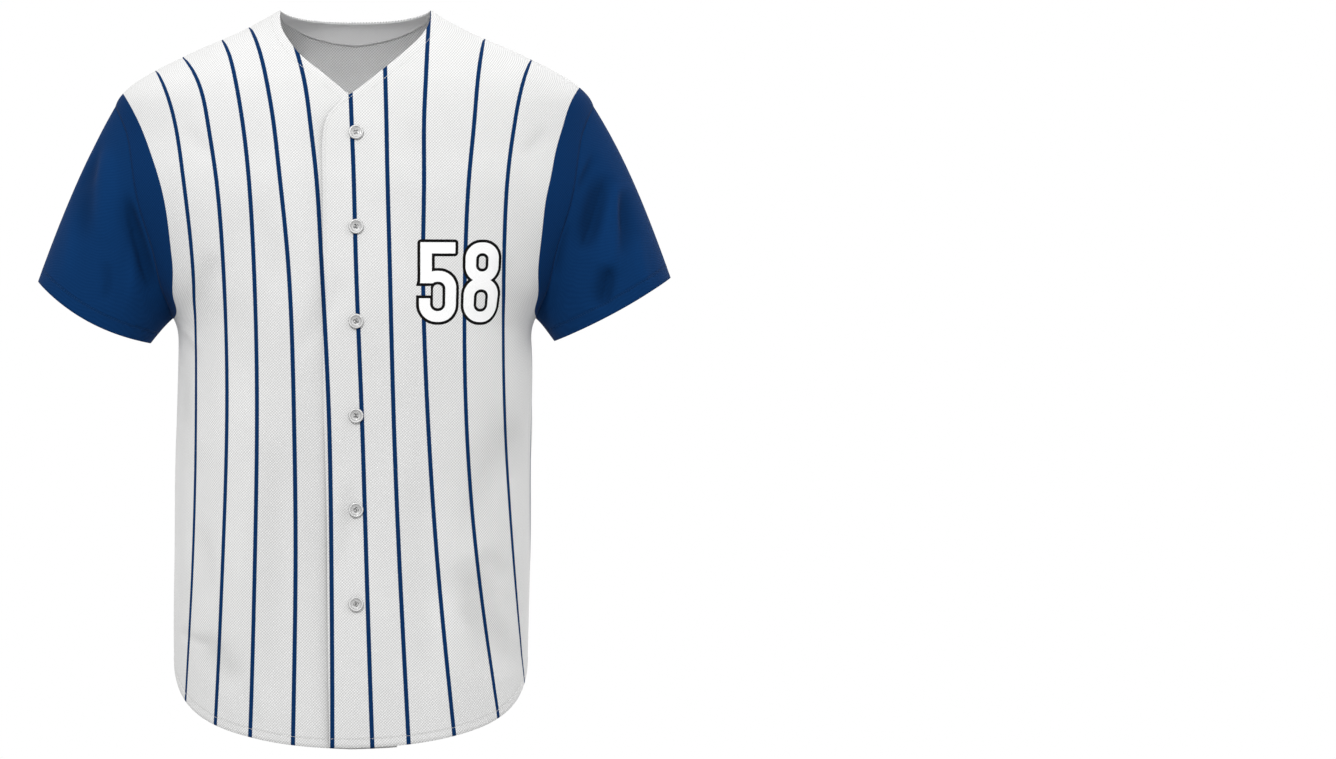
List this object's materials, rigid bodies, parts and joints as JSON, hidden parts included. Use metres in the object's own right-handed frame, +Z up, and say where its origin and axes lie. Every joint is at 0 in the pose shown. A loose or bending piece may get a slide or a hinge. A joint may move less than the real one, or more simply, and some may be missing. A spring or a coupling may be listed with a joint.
{
  "type": "baseball jersey",
  "caption": "Short-sleeved baseball jersey, buttoned down the front, pinstriped body with navy sleeves and a shirt-tail hem, hollow as worn.",
  "frame": {"origin": "at shoulder height midway between the two high points of the shoulders, where a wearer holds the garment up", "axes": "+Z up, -Y out of the front, +X towards the wearer's left"},
  "size_m": [0.654, 0.293, 0.759],
  "materials": {
    "front_left": "white double-knit polyester mesh with printed navy pinstripes",
    "front_right": "white double-knit polyester mesh with printed navy pinstripes",
    "back": "white double-knit polyester mesh with printed navy pinstripes",
    "neck_facing": "white double-knit polyester mesh, unprinted",
    "sleeve_left": "navy double-knit polyester mesh",
    "sleeve_right": "navy double-knit polyester mesh",
    "button": "white polyester button, softly polished"
  },
  "bodies": {
    "root": {"front_left": "front_left", "front_right": "front_right", "back": "back", "sleeve_left": "sleeve_left", "sleeve_right": "sleeve_right", "neck_facing": "neck_facing", "button_1": "button", "button_2": "button", "button_3": "button", "button_4": "button", "button_5": "button", "button_6": "button"}
  },
  "joints": []
}
